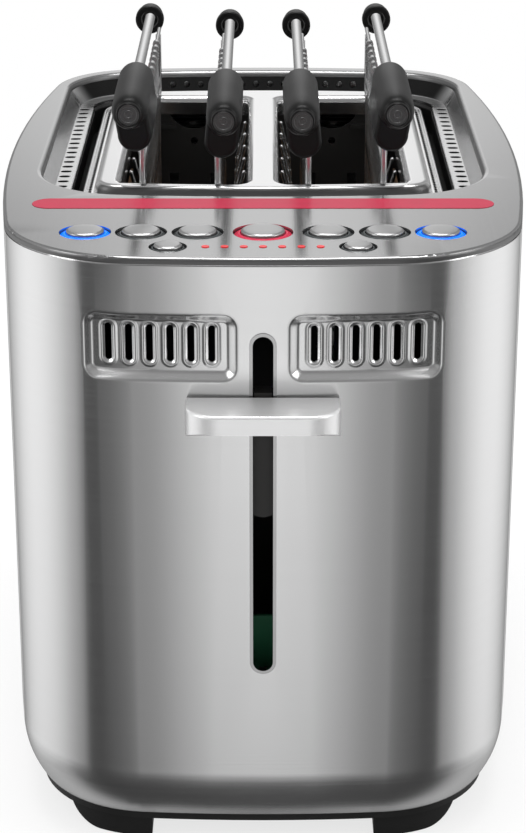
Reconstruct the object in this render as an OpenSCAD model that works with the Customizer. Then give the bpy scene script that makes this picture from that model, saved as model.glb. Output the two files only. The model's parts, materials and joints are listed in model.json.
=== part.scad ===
// Two-slot toaster with two hinged sandwich cages, brushed steel body with bowed sides.
// Millimetres. Front faces -Y, top faces +Z, the table is z = 0.

/* [Body] */
// Width across the bowed sides
body_w = 200; // [190:1:215]
// Depth from front to rear at the middle
body_d = 298; // [292:1:315]
// Height of the top panel above the table
top_z = 232; // [226:1:245]
// Radius of the bow of the long sides
side_bow = 750; // [600:10:1200]
// Radius of the bow of the front and rear
end_bow = 570; // [450:10:1200]
// Front corner radius in plan
front_r = 52; // [44:1:56]
// Rear corner radius in plan
rear_r = 38; // [32:1:46]
// Wall of the shell and the top panel
sheet = 1.2; // [0.8:0.1:1.6]
// Radius of the rolled-in bottom edge
roll_r = 36; // [30:1:42]
// Turn of the rolled-in bottom edge, degrees
roll_turn = 36; // [30:1:42]
// Height of the shell's bottom edge above the table
shell_z = 11.5; // [11:0.5:13]
// Height of the feet
foot_h = 8.5; // [6:0.5:9]

/* [Top panel] */
// Radius on the outer top edge
edge_r = 1.4; // [1:0.1:2]
// Depth of the panel's outer rim
rim_h = 2.4; // [2:0.1:3]
// Height of the dark seam under the rim
seam = 0.6; // [0.4:0.1:1]
// Place of the tub's side between the slot plate and the body's side, as a share
tub_share = 0.5775; // [0.55:0.0025:0.6]
// Front edge of the tub opening behind the front face
tub_d0 = 80.5; // [79.5:0.5:82]
// Margin of the tub opening to the rear face
tub_back = 8.3; // [7:0.1:12]
// Front corner radius of the tub opening
tub_rf = 36; // [30:1:40]
// Rear corner radius of the tub opening
tub_rr = 30; // [24:1:36]
// Radius of the soft rim round the opening
rim_r = 2.5; // [2:0.1:3]
// Front edge of the light bar behind the front face
bar_d0 = 62.3; // [58:0.1:63]
// Depth of the light bar
bar_w = 13.2; // [10:0.1:14]
// Reach of the light bar's ends past the tub's sides
bar_past = 0; // [-12:0.5:0.5]

/* [Buttons] */
// Button row behind the front face
row_d = 32.1; // [31:0.1:34]
// Small buttons and lights behind the front face
small_d = 14.3; // [14:0.1:15]
// Offsets of the buttons each side of the middle one
row_x = [23.1, 43.1, 62.9]; // [0:0.1:80]
// Offset of the small buttons
small_x = 33; // [32:0.5:35]
// Hole of a row button
hole_d = 18.5; // [17:0.1:18.8]
// Hole of the middle button
mid_hole_d = 21.5; // [20:0.1:22]
// Hole of a small button
small_hole_d = 13.4; // [12:0.1:14]
// Cap width as a share of its hole
cap_share = 0.82; // [0.74:0.01:0.84]
// Travel of a button
key_travel = 1.5; // [1:0.1:2]
// Pitch of the seven lights
light_pitch = 6.66; // [5.5:0.01:6.8]
// Diameter of a light
light_d = 2.7; // [2:0.1:3]

/* [Slots] */
// Half width of the slot plate at its top
plate_hw = 64.5; // [63:0.5:66]
// Front edge of the slot plate behind the front face
plate_d0 = 94.6; // [94:0.1:95.5]
// Rear edge of the slot plate behind the front face
plate_d1 = 258; // [256:1:264]
// Slot plate top under the panel's top
plate_drop = 1; // [0.5:0.1:2]
// Corner radius of the slot plate
plate_r = 9; // [7:0.5:12]
// Inner edge of a slot from the middle
slot_x0 = 6.5; // [6:0.1:7.5]
// Outer edge of a slot from the middle
slot_x1 = 54.1; // [53:0.1:55]
// Front end of the slots behind the front face
slot_d0 = 101; // [100.5:0.1:102]
// Rear end of the slots behind the front face
slot_d1 = 244; // [242:0.5:246]
// Corner radius of a slot
slot_r = 5.5; // [4:0.5:8]
// Radius of the lip round a slot
lip_r = 3; // [2:0.1:3.2]
// Depth of the lip
lip_h = 8; // [6:0.5:10]

/* [Front vents] */
// Middle of a vent panel from the middle of the front
vent_x = 35.8; // [34:0.1:38]
// Middle of the vent panels under the top
vent_drop = 32.6; // [30:0.1:38]
// Width of a vent panel
vent_w = 53.6; // [51:0.1:55]
// Height of a vent panel
vent_h = 24.6; // [22:0.1:30]
// Depth of the pressed recess
vent_in = 2.4; // [1.6:0.1:2.8]
// Width of the pressed border
vent_border = 2.2; // [1.6:0.1:3]
// Slots in one panel
vent_n = 6; // [4:1:7]
// Pitch of the slots
vent_pitch = 7.2; // [6.6:0.1:7.4]
// Width of one slot
vent_slot = 2.4; // [1.6:0.1:3]
// Height of one slot
vent_slot_h = 13.4; // [10:0.1:16]

/* [Lever and carriage] */
// Top of the lever slot under the panel's top
lever_top = 27.4; // [24:0.1:29]
// Bottom of the lever slot under the panel's top
lever_bot = 157.2; // [155:0.1:165]
// Width of the lever slot
lever_slot_w = 8.4; // [8:0.1:10]
// Wall of the slot trim
trim_w = 0.6; // [0.5:0.1:0.9]
// Width of the lever handle
lever_w = 54; // [48:1:60]
// Reach of the handle in front of the shell
lever_out = 20.5; // [18:0.5:26]
// Thickness of the handle at its front
lever_h = 6.4; // [5:0.1:8]
// Thickness of the handle at its root
lever_root = 15; // [10:0.5:16]
// Top of the handle under the panel's top, lever up
lever_drop = 50; // [49:0.5:53]
// Travel down to the latch
travel_down = 90; // [80:1:92]
// Extra lift
travel_up = 14; // [8:1:15]
// Bread rest under the panel's top, lever up
rest_drop = 112; // [111:1:115]
// Width of a bread rest
rest_w = 30; // [24:1:31]
// Diameter of a guide post
post_d = 5; // [4:0.5:6]

/* [Chamber] */
// Guide wire diameter
guide_d = 1.6; // [1.2:0.1:1.8]
// Outer guide wires from the middle
guide_x1 = 48.5; // [48.3:0.1:49.5]
// Inner guide wires from the middle
guide_x0 = 11.5; // [10:0.1:12]
// Wires on one side of a slot
guide_n = 7; // [5:1:9]
// Outer heater boards from the middle
board_x = 58; // [56:0.5:60]
// Heat shields from the middle
shield_x = 68; // [66:0.5:69]
// Thickness of a mica board
board_t = 1; // [0.6:0.1:1.4]

/* [Cages] */
// Outer wire grid of a cage from the middle
grid_x1 = 45.6; // [45:0.1:46]
// Inner wire grid of a cage from the middle
grid_x0 = 17.2; // [17:0.1:18]
// Outer handle tube from the middle
tube_x1 = 49.8; // [49:0.1:50.5]
// Inner handle tube from the middle
tube_x0 = 14.6; // [14:0.1:15]
// Outer handle tube above the panel's top
tube_z1 = 29.2; // [28:0.1:31]
// Inner handle tube above the panel's top
tube_z0 = 26.6; // [26:0.1:31]
// Handle tube diameter
tube_d = 4.2; // [3.6:0.1:4.6]
// Frame wire diameter
frame_d = 2.4; // [2:0.1:2.6]
// Grid wire diameter
wire_d = 1.6; // [1.2:0.1:1.8]
// Upright wires in one grid
wire_n = 12; // [8:1:13]
// Width of a grip
grip_w = 13.8; // [13:0.1:14.4]
// Front face of the grips behind the front of the body
grip_d0 = 89; // [87:0.5:90]
// Rear end of the grips behind the front of the body
grip_d1 = 148; // [140:1:152]
// Height of the grip's lower round under the tube
grip_leg = 10.5; // [9:0.5:11.5]
// Height of the hinge rod under the panel's top
hinge_drop = 92; // [90:1:93]
// Hinge rod diameter
hinge_d = 4; // [3:0.5:4.5]

/* [Hidden] */
$fn = 64;
fine = 720;

// Room between a moving piece and what it passes
gap = 0.3;
// Room round a piece that is pushed in and held
snug = 0.1;
gland_out = 6;
// Flat tail of a rolled edge
tail = 1;
half_w = body_w / 2;
tub_hw = round(100 * (plate_hw + tub_share * (half_w - plate_hw))) / 100;
bar_hw = tub_hw + bar_past;
front_y = (lever_out - body_d - gland_out) / 2;
rear_y = front_y + body_d;
mid_y = front_y + body_d / 2;
seat_z = top_z - rim_h;
base_z = foot_h;
base_t = 2;
foot_x0 = 42;
foot_x1 = 74;
floor_z = base_z + base_t;
base_in = roll_r * (1 - cos(roll_turn)) + 0.6;

// Tub and slot plate levels
tub_d1 = body_d - tub_back;
ledge_z = top_z - 9;
ledge_u = 9.5;
trench_z = top_z - 22;
plate_z = top_z - plate_drop;

// Chamber
wall_t = 1;
wall_d0 = slot_d0 - 3;
wall_d1 = slot_d1 + 2;
slot_c = (slot_x0 + slot_x1) / 2;
rest_z = top_z - rest_drop;
rail_w = 3;
rail_h = 8;
slit_w = rail_w + 2;
tray_z = floor_z + 2.5;
tray_hw = 64;
tray_h = 6;

// Carriage
lever_z1 = top_z - lever_drop;
lever_z0 = lever_z1 - lever_h;
post_x = 14;
carry_d = 14;
bush_r = post_d / 2 + 2;
bracket_z0 = lever_z0 - 42;
cross_d = carry_d + bush_r - 0.5;
cross_z0 = bracket_z0 + 2;
cross_z1 = cross_z0 + 24;
magnet_x = -23.5;
magnet_d = carry_d + 7;
board_top = top_z - 147.5;

// Button board
pcb_z = top_z - 20;
pcb_t = 1.6;
switch_h = 3.5;

// Cages
hinge_z = top_z - hinge_drop;
hinge_x = (grid_x0 + grid_x1) / 2;
leg_out = 3.5;
leg_in = 4;
eye_w = 3;
eye_step = 4.5;
link_in = 5.5;
jog_z = plate_z + frame_d / 2 + gap;
low_wire_z = hinge_z + 9;
high_wire_z = top_z + 6;
top_wire_under = 4;
cap_d0 = slot_d1 + 17;
cap_len = 13;

steel = [0.76, 0.76, 0.77];
black = [0.07, 0.07, 0.07];
mica = [0.45, 0.28, 0.16];

function behind(d) = front_y + d;

// One of the two points where circles round a and b meet
function meet(a, ra, b, rb, s) =
    let (d = norm(b - a), u = (b - a) / d)
    let (t = (ra * ra - rb * rb + d * d) / (2 * d))
    a + t * u + s * sqrt(ra * ra - t * t) * [-u[1], u[0]];

// Body outline: two side arcs, two end arcs and four corner arcs, all tangent
side_c = [half_w - side_bow, mid_y];
front_c = [0, front_y + end_bow];
rear_c = [0, rear_y - end_bow];
cf = meet(side_c, side_bow - front_r, front_c, end_bow - front_r, -1);
cr = meet(side_c, side_bow - rear_r, rear_c, end_bow - rear_r, 1);
bow_f = atan2(cf[0], front_c[1] - cf[1]);
bow_r = atan2(cr[0], cr[1] - rear_c[1]);
turn_f = atan2(cf[1] - mid_y, cf[0] - side_c[0]);
turn_r = atan2(cr[1] - mid_y, cr[0] - side_c[0]);

// The body outline, drawn i inside the outer face
module plan(i = 0) {
    y0 = cf[1] + (front_r - i) * sin(turn_f);
    y1 = cr[1] + (rear_r - i) * sin(turn_r);
    x0 = cf[0] + (front_r - i) * sin(bow_f);
    x1 = cr[0] + (rear_r - i) * sin(bow_r);
    intersection() {
        translate([side_c[0], mid_y]) circle(side_bow - i, $fn = fine);
        translate([-side_c[0], mid_y]) circle(side_bow - i, $fn = fine);
        translate([-body_w, y0]) square([2 * body_w, y1 - y0]);
    }
    intersection() {
        translate(front_c) circle(end_bow - i, $fn = fine);
        translate([-x0, front_y]) square([2 * x0, body_d / 2]);
    }
    intersection() {
        translate(rear_c) circle(end_bow - i, $fn = fine);
        translate([-x1, mid_y]) square([2 * x1, body_d / 2]);
    }
    for (s = [-1, 1]) {
        at([s * cf[0], cf[1]]) circle(front_r - i);
        at([s * cr[0], cr[1]]) circle(rear_r - i);
    }
}

// Places a centre to full precision, so that neighbouring arcs meet
module at(c) {
    k = [round(c[0] * 100) / 100, round(c[1] * 100) / 100];
    translate(k) translate(c - k) children();
}

module prism(points) {
    translate([0, 0, -20]) linear_extrude(400) polygon(points);
}

// The part of a turned profile that lies inside an outline
module arc(c, r, points, facets = 96) {
    intersection() {
        at(c) rotate_extrude($fn = facets) translate([r, 0]) children();
        prism(points);
    }
}

// Points on the line from a corner's centre through the end of its arc
reach = 90;
function along(c, t) = c + reach * [cos(t), sin(t)];
function flip(p) = [-p[0], p[1]];

// Carries a profile round the body outline; profile x is the way outwards
module plan_sweep() {
    f1 = along(cf, bow_f - 90);
    f2 = along(cf, turn_f);
    r1 = along(cr, 90 - bow_r);
    r2 = along(cr, turn_r);
    arc(front_c, end_bow, [flip(cf), flip(f1), f1, cf], fine) children();
    arc(rear_c, end_bow, [cr, r1, flip(r1), flip(cr)], fine) children();
    for (m = [0, 1]) mirror([m, 0, 0]) {
        arc(cf, front_r, [cf, f1, [f2[0], f1[1]], f2]) children();
        arc(side_c, side_bow, [cf, f2, r2, cr], fine) children();
        arc(cr, rear_r, [cr, r2, [r2[0], r1[1]], r1]) children();
    }
}

module slab(z0, z1) {
    translate([0, 0, z0]) linear_extrude(z1 - z0) children();
}

// A wall between two depths inside the body outline
module band(i0, i1, z0, z1) {
    slab(z0, z1) difference() {
        plan(i0);
        plan(i1);
    }
}

// Rounded rectangle with straight sides and bowed ends
function bowed_f(hw, d0, r) =
    [hw - r, behind(d0) + end_bow - sqrt(pow(end_bow - r, 2) - pow(hw - r, 2))];
function bowed_r(hw, d1, r) =
    [hw - r, behind(d1) - end_bow + sqrt(pow(end_bow - r, 2) - pow(hw - r, 2))];

module bowed(hw, d0, d1, r0, r1) {
    a = bowed_f(hw, d0, r0);
    b = bowed_r(hw, d1, r1);
    ta = atan2(a[0], behind(d0) + end_bow - a[1]);
    tb = atan2(b[0], b[1] - behind(d1) + end_bow);
    translate([-hw, a[1]]) square([2 * hw, b[1] - a[1]]);
    intersection() {
        translate([0, behind(d0) + end_bow]) circle(end_bow, $fn = fine);
        translate([-a[0] - r0 * sin(ta), behind(d0)])
            square([2 * (a[0] + r0 * sin(ta)), a[1] + 1 - behind(d0)]);
    }
    intersection() {
        translate([0, behind(d1) - end_bow]) circle(end_bow, $fn = fine);
        translate([-b[0] - r1 * sin(tb), b[1] - 1])
            square([2 * (b[0] + r1 * sin(tb)), behind(d1) - b[1] + 1]);
    }
    for (s = [-1, 1]) {
        at([s * a[0], a[1]]) circle(r0);
        at([s * b[0], b[1]]) circle(r1);
    }
}

module side_run(x, y0, y1) {
    translate([x, y1, 0]) rotate([90, 0, 0]) linear_extrude(y1 - y0) children();
}

module bowed_sweep(hw, d0, d1, r0, r1) {
    a = bowed_f(hw, d0, r0);
    b = bowed_r(hw, d1, r1);
    ac = [0, behind(d0) + end_bow];
    bc = [0, behind(d1) - end_bow];
    ta = atan2(a[0], ac[1] - a[1]);
    tb = atan2(b[0], b[1] - bc[1]);
    a1 = along(a, ta - 90);
    a2 = along(a, 0);
    b1 = along(b, 90 - tb);
    b2 = along(b, 0);
    arc(ac, end_bow, [flip(a), flip(a1), a1, a], fine) children();
    arc(bc, end_bow, [b, b1, flip(b1), flip(b)], fine) children();
    for (m = [0, 1]) mirror([m, 0, 0]) {
        arc(a, r0, [a, a1, [a2[0], a1[1]], a2]) children();
        intersection() {
            side_run(hw, front_y - 50, rear_y + 50) children();
            prism([a, a2, b2, b]);
        }
        arc(b, r1, [b, b2, [b2[0], b1[1]], b1]) children();
    }
}

// Plain rounded rectangle between two corners
module rounded(x0, x1, y0, y1, r) {
    translate([x0 + r, y0]) square([x1 - x0 - 2 * r, y1 - y0]);
    translate([x0, y0 + r]) square([x1 - x0, y1 - y0 - 2 * r]);
    for (x = [x0 + r, x1 - r]) for (y = [y0 + r, y1 - r]) translate([x, y]) circle(r);
}

module rounded_sweep(x0, x1, y0, y1, r) {
    side_run(x1, y0 + r, y1 - r) children();
    rotate([0, 0, 180]) side_run(-x0, -y1 + r, -y0 - r) children();
    rotate([0, 0, -90]) side_run(-y0, x0 + r, x1 - r) children();
    rotate([0, 0, 90]) side_run(y1, -x1 + r, -x0 - r) children();
    for (e = [[x1 - r, y1 - r, 0], [x0 + r, y1 - r, 90], [x0 + r, y0 + r, 180], [x1 - r, y0 + r, 270]])
        translate([e[0], e[1], 0]) rotate([0, 0, e[2]])
            rotate_extrude(angle = 90) translate([r, 0]) children();
}

// A rolled edge in profile: a quarter ring round (u, z) on side sx, and a flat tail behind it
module rolled(u, z, r, t, sx) {
    intersection() {
        translate([u, z]) difference() {
            circle(r);
            circle(r - t);
        }
        translate([sx > 0 ? u : u - r, z]) square([r, r]);
    }
    translate([sx > 0 ? u - tail : u, z + r - t]) square([tail, t]);
}

// Stands a 2-D shape drawn in x and z upright between two depths
module upright(d0, d1) {
    translate([0, behind(d1), 0]) rotate([90, 0, 0]) linear_extrude(d1 - d0) children();
}

module rect_xz(x0, x1, z0, z1) {
    translate([x0, z0]) square([x1 - x0, z1 - z0]);
}

module box(x0, x1, d0, d1, z0, z1) {
    translate([x0, behind(d0), z0]) cube([x1 - x0, d1 - d0, z1 - z0]);
}

module rod_y(x, z, d0, d1, dia) {
    translate([x, behind(d0), z]) rotate([-90, 0, 0]) cylinder(d = dia, h = d1 - d0);
}

module rod_z(x, d, z0, z1, dia) {
    translate([x, behind(d), z0]) cylinder(d = dia, h = z1 - z0);
}

// A straight wire between two points with round ends
module wire(a, b, dia) {
    v = b - a;
    translate(a) rotate([0, acos(v[2] / norm(v)), atan2(v[1], v[0])])
        cylinder(d = dia, h = norm(v));
}

module knee(p, dia) {
    translate(p) sphere(d = dia * 1.08);
}

// Body

module shell_profile() {
    roll_z = shell_z + roll_r * sin(roll_turn);
    translate([-sheet, roll_z]) square([sheet, seat_z - seam - roll_z]);
    translate([-3.4, seat_z - sheet]) square([3.4 - 0.8, sheet]);
    translate([-sheet, seat_z - sheet - 1]) square([sheet - 0.8, 1.5]);
    difference() {
        translate([-roll_r, roll_z]) circle(roll_r, $fn = 128);
        translate([-roll_r, roll_z]) circle(roll_r - sheet, $fn = 128);
        translate([-3 * roll_r, roll_z]) square([4 * roll_r, 2 * roll_r]);
        translate([-3 * roll_r, shell_z - 2 * roll_r]) square([4 * roll_r, 2 * roll_r]);
        translate([-3 * roll_r, shell_z - roll_r]) square([2 * roll_r, 3 * roll_r]);
    }
}

module vent_outline(s, g) {
    c = top_z - vent_drop;
    rounded(s * vent_x - vent_w / 2 - g, s * vent_x + vent_w / 2 + g, c - vent_h / 2 - g,
        c + vent_h / 2 + g, 5 + g);
}

module vent_slots(s, g) {
    c = top_z - vent_drop + 0.9;
    for (k = [0 : vent_n - 1]) {
        x = s * vent_x + (k - (vent_n - 1) / 2) * vent_pitch;
        r = vent_slot / 2 + g;
        rounded(x - r, x + r, c - vent_slot_h / 2 - g, c + vent_slot_h / 2 + g, r - 0.01);
    }
}

// A recess pressed in steps along the bowed front, with a dished lip round each slot
module vent_pressing(s) {
    z0 = top_z - vent_drop - vent_h;
    z1 = top_z - vent_drop + vent_h;
    back = vent_in + sheet;
    steps = 3;
    dish = 0.5;
    difference() {
        union() {
            for (k = [1 : steps]) intersection() {
                band(k * vent_in / (steps + 1), back, z0, z1);
                upright(-2, 20) difference() {
                    vent_outline(s, 1);
                    vent_outline(s, -k * vent_border / steps);
                }
            }
            intersection() {
                band(vent_in, back, z0, z1);
                upright(-2, 20) vent_outline(s, 1);
            }
        }
        intersection() {
            band(vent_in - 0.5, vent_in + dish, z0, z1);
            upright(-2, 20) vent_slots(s, 1.2);
        }
        upright(-2, 20) vent_slots(s, 0);
    }
}

// The lever slot's outline, drawn g outside it
module lever_opening(g) {
    hw = lever_slot_w / 2 + g;
    rounded(-hw, hw, top_z - lever_bot - g, top_z - lever_top + g, hw - 0.01);
}

module outer_shell() color(steel) {
    difference() {
        plan_sweep() shell_profile();
        for (m = [0, 1]) mirror([m, 0, 0]) upright(-3, 14) vent_outline(1, 0.3);
        upright(-2, 8) lever_opening(0);
        rod_y(0, gland_z, body_d - 10, body_d + 10, gland_hole);
        box(-tray_hw - 3, tray_hw + 3, body_d - 40, body_d + 10, 0, tray_z + 13);
        for (k = [-4 : 4]) upright(body_d - 10, body_d + 10)
            rounded(k * 10 - 2, k * 10 + 2, top_z - 120, top_z - 92, 1.99);
    }
    for (m = [0, 1]) mirror([m, 0, 0]) vent_pressing(1);
}

gland_z = shell_z + 42;
gland_hole = 11;

module top_rim_profile() {
    translate([-3, seat_z]) square([3, rim_h - edge_r]);
    translate([-3, seat_z]) square([3 - edge_r, rim_h]);
    translate([-edge_r, top_z - edge_r]) intersection() {
        circle(edge_r);
        translate([-edge_r, 0]) square([2 * edge_r, edge_r]);
    }
}

module bar_outline(g) {
    r = bar_w / 2 + g;
    rounded(-bar_hw - g, bar_hw + g, behind(bar_d0) - g, behind(bar_d0 + bar_w) + g, r - 0.01);
}

module lens_spots(dia) {
    for (k = [-3 : 3]) translate([k * light_pitch, behind(small_d)]) circle(d = dia);
}

module top_panel() color(steel) {
    g = rim_r + tail / 2;
    difference() {
        union() {
            slab(top_z - sheet, top_z) plan(edge_r + 0.8);
            plan_sweep() top_rim_profile();
        }
        slab(top_z - 20, top_z + 5)
            bowed(tub_hw + g, tub_d0 - g, tub_d1 + g, tub_rf + g, tub_rr + g);
        slab(top_z - 20, top_z + 5) bar_outline(0);
        slab(top_z - 20, top_z + 5) lens_spots(light_d + 2 * snug);
        for (k = key_list) rod_z(k[0], k[1], top_z - 20, top_z + 5, k[2]);
    }
    bowed_sweep(tub_hw, tub_d0, tub_d1, tub_rf, tub_rr)
        rolled(rim_r, top_z - rim_r, rim_r, sheet, -1);
}

module tub_profile() {
    t = 1;
    z1 = top_z - rim_r;
    polygon([[0, z1], [2.5, z1], [2.5, z1 - t], [0, z1 - t], [-3.2, ledge_z - t], [-ledge_u + t, ledge_z - t],
        [-ledge_u + t, trench_z - t], [-ledge_u, trench_z - t], [-ledge_u, ledge_z], [-3.6, ledge_z]]);
}

module vent_tub() color(steel) {
    t = 1;
    hw = tub_hw - ledge_u + t;
    difference() {
        union() {
            bowed_sweep(tub_hw, tub_d0, tub_d1, tub_rf, tub_rr) tub_profile();
            slab(trench_z - t, trench_z) difference() {
                bowed(hw, tub_d0 + ledge_u - t, tub_d1 - ledge_u + t, tub_rf - ledge_u + t,
                    tub_rr - ledge_u + t);
                rounded(-slot_x1 - 6, slot_x1 + 6, behind(wall_d0 - 2), behind(wall_d1 + 4), 6);
            }
        }
        for (s = [-1, 1]) for (k = [-12 : 12])
            translate([s * (tub_hw - 2.6), behind((tub_d0 + tub_d1) / 2 + 3 + k * 6), ledge_z + 2])
                cube([4.4, 2, 3.2], center = true);
        for (k = [-8 : 7])
            rod_y((k + 0.5) * 6.3, ledge_z + 3.4, tub_d1 - 8, tub_d1 + 4, 2.8);
    }
}

module slot_outline(s, g) {
    x0 = s > 0 ? slot_x0 : -slot_x1;
    x1 = s > 0 ? slot_x1 : -slot_x0;
    rounded(x0 - g, x1 + g, behind(slot_d0) - g, behind(slot_d1) + g, slot_r + g);
}

module slot_plate() color([0.88, 0.88, 0.89]) {
    t = 1;
    g = lip_r + tail / 2;
    slab(plate_z - t, plate_z) difference() {
        bowed(plate_hw - g, plate_d0 + g, plate_d1 - g, plate_r - g, plate_r - g);
        for (s = [-1, 1]) slot_outline(s, g);
    }
    for (s = [-1, 1]) {
        x0 = s > 0 ? slot_x0 : -slot_x1;
        x1 = s > 0 ? slot_x1 : -slot_x0;
        rounded_sweep(x0, x1, behind(slot_d0), behind(slot_d1), slot_r) {
            union() {
                rolled(lip_r, plate_z - lip_r, lip_r, t, -1);
                translate([0, plate_z - lip_h]) square([t, lip_h - lip_r]);
            }
        }
    }
    bowed_sweep(plate_hw, plate_d0, plate_d1, plate_r, plate_r) {
        union() {
            rolled(-lip_r, plate_z - lip_r, lip_r, t, 1);
            polygon([[-t, plate_z - lip_r], [0, plate_z - lip_r], [2.4, trench_z], [2.4 - t, trench_z]]);
        }
    }
}

screw_spots = [for (s = [-1, 1]) for (d = [68, body_d - 68]) [s * 74, d]];

module base_pan() color(black) {
    difference() {
        union() {
            slab(base_z, floor_z) plan(base_in);
            band(base_in, base_in + 3, base_z, shell_z);
            for (s = [-1, 1]) box(s * 50 - 1.5, s * 50 + 1.5, wall_d0 + 6, body_d - 22, base_z, tray_z - gap);
            for (s = [-1, 1]) rod_z(s * post_x, carry_d, base_z, floor_z + 6, post_d + 3);
            for (p = screw_spots) rod_z(p[0], p[1], base_z, floor_z + 12, 9);
        }
        for (s = [-1, 1]) rod_z(s * post_x, carry_d, floor_z, floor_z + 30, post_d);
        for (p = screw_spots) {
            rod_z(p[0], p[1], base_z + 0.4, floor_z + 9, 3.4);
            rod_z(p[0], p[1], base_z - 1, base_z + 0.4, 7.6);
        }
        for (k = [-5 : 5]) upright_floor(k);
    }
}

// Intake slots in the base, under the chamber's front compartment
module upright_floor(k) {
    slab(base_z - 1, floor_z + 1)
        rounded(k * 8 - 1.5, k * 8 + 1.5, behind(wall_d0 - 38), behind(wall_d0 - 14), 1.49);
}

module foot_front(s) {
    bend = 12;
    mirror([s > 0 ? 0 : 1, 0]) {
        rect_xz(foot_x0, foot_x1 - bend, -1, 3 * bend);
        rect_xz(foot_x0, foot_x1, bend, 3 * bend);
        translate([foot_x1 - bend, bend]) circle(bend);
    }
}

module feet() color(black) {
    for (s = [-1, 1]) for (e = [-5, body_d - 60]) intersection() {
        band(base_in + 1.4, base_in + 17, 0, base_z);
        upright(e, e + 65) foot_front(s);
    }
}

module base_screws() color([0.5, 0.5, 0.5]) {
    for (p = screw_spots) difference() {
        union() {
            rod_z(p[0], p[1], base_z - 1.6, base_z + 0.4, 6.8);
            rod_z(p[0], p[1], base_z + 0.4, floor_z + 8, 3.4);
        }
        translate([p[0], behind(p[1]), base_z - 1.6]) cube([4.6, 0.9, 1.6], center = true);
        translate([p[0], behind(p[1]), base_z - 1.6]) cube([0.9, 4.6, 1.6], center = true);
    }
}

// Chamber

module end_plate_outline() {
    rect_xz(-70, 70, floor_z, trench_z - 1);
    rect_xz(-slot_x1 - 2, slot_x1 + 2, trench_z - 2, plate_z - lip_h - 0.5);
}

module rest_slits() {
    for (s = [-1, 1])
        rect_xz(s * slot_c - slit_w / 2, s * slot_c + slit_w / 2, tray_z + tray_h + 1.5, rest_z + travel_up + 2);
}

module front_end_plate() color(black) {
    upright(wall_d0, wall_d0 + wall_t) difference() {
        end_plate_outline();
        rest_slits();
        for (s = [-1, 1]) translate([s * 62, 60]) circle(d = 8);
    }
}

module rear_end_plate() color(black) {
    notch_z = top_z - 4;
    upright(wall_d1, wall_d1 + wall_t) difference() {
        end_plate_outline();
        rest_slits();
        rect_xz(-half_w, half_w, 0, tray_z + tray_h + 2);
        for (s = [-1, 1]) {
            translate([s * slot_c, notch_z]) circle(r = 12);
            translate([s * slot_c, top_z - 19.4 - 2]) circle(d = 3.2);
            for (k = [-1, 1])
                rect_xz(s * slot_c + k * 9 - 2, s * slot_c + k * 9 + 2, top_z - 44, top_z - 36);
        }
    }
    for (s = [-1, 1]) for (k = [-1, 1])
        box(s * slot_c + k * 11.5 - 3.5, s * slot_c + k * 11.5 + 3.5, wall_d1 - 1.6, wall_d1 + wall_t,
            top_z - 15.6, top_z - 13.8);
}

module mica_board(x) {
    box(x - board_t / 2, x + board_t / 2, wall_d0 + wall_t, wall_d1, rest_z - travel_down + 8, trench_z - 12);
}

module heater_board_left() color(mica) mica_board(-board_x);

module heater_board_center() color(mica) mica_board(0);

module heater_board_right() color(mica) mica_board(board_x);

// One continuous ribbon that runs to and fro on a board face
module ribbon(x) {
    t = 0.4;
    n = 9;
    d0 = wall_d0 + 9;
    d1 = wall_d1 - 8;
    z0 = rest_z - travel_down + 16;
    step = (trench_z - 20 - z0) / (n - 1);
    for (k = [0 : n - 1]) box(x - t / 2, x + t / 2, d0, d1, z0 + k * step, z0 + k * step + 2);
    for (k = [0 : n - 2]) {
        d = k % 2 == 0 ? d0 : d1 - 2;
        box(x - t / 2, x + t / 2, d, d + 2, z0 + k * step, z0 + (k + 1) * step + 2);
    }
}

module heater_ribbons() color([0.62, 0.6, 0.57]) {
    off = board_t / 2 + 0.2;
    for (x = [-board_x + off, -off, off, board_x - off]) ribbon(x);
}

// Bent wires that keep the bread off the ribbons, tied by two rods
module guide_side(x, top_x) {
    z0 = rest_z - travel_down + 4;
    z1 = top_z - 26;
    z2 = plate_z - lip_h - 1.5;
    rod_x = x + (top_x > x ? 1.3 : -1.3);
    step = (slot_d1 - slot_d0 - 20) / (guide_n - 1);
    for (k = [0 : guide_n - 1]) {
        y = behind(slot_d0 + 10 + k * step);
        wire([x, y, z0], [x, y, z1], guide_d);
        knee([x, y, z1], guide_d);
        wire([x, y, z1], [top_x, y, z2], guide_d);
        knee([top_x, y, z2], guide_d);
        knee([x, y, z0], guide_d);
    }
    for (z = [rest_z - 40, z1 - 16]) rod_y(rod_x, z, wall_d0 + wall_t, wall_d1, 2);
}

module bread_guides_right() color(steel) {
    guide_side(guide_x1, slot_x1 - 1);
    guide_side(guide_x0, slot_x0 + 1.2);
}

module bread_guides_left() color(steel) mirror([1, 0, 0]) {
    guide_side(guide_x1, slot_x1 - 1);
    guide_side(guide_x0, slot_x0 + 1.2);
}

module heat_shields() color(steel) {
    for (s = [-1, 1])
        box(s * shield_x - 0.4, s * shield_x + 0.4, wall_d0 + wall_t, wall_d1, rest_z - travel_down + 4, trench_z - 6);
}

// Front compartment

module guide_posts() color(steel) {
    for (s = [-1, 1]) rod_z(s * post_x, carry_d, floor_z, pcb_z, post_d);
}

module control_board() color([0.1, 0.36, 0.18]) {
    d0 = cross_d + 9;
    box(-22, 22, d0, d0 + 1.6, floor_z, board_top);
    box(-16, -2, d0 + 1.6, d0 + 14, board_top - 30, board_top - 12);
    box(4, 16, d0 + 1.6, d0 + 10, board_top - 26, board_top - 16);
    rod_y(8, floor_z + 20, d0 + 1.6, d0 + 18, 12);
    rod_y(-10, floor_z + 18, d0 + 1.6, d0 + 12, 8);
}

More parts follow.
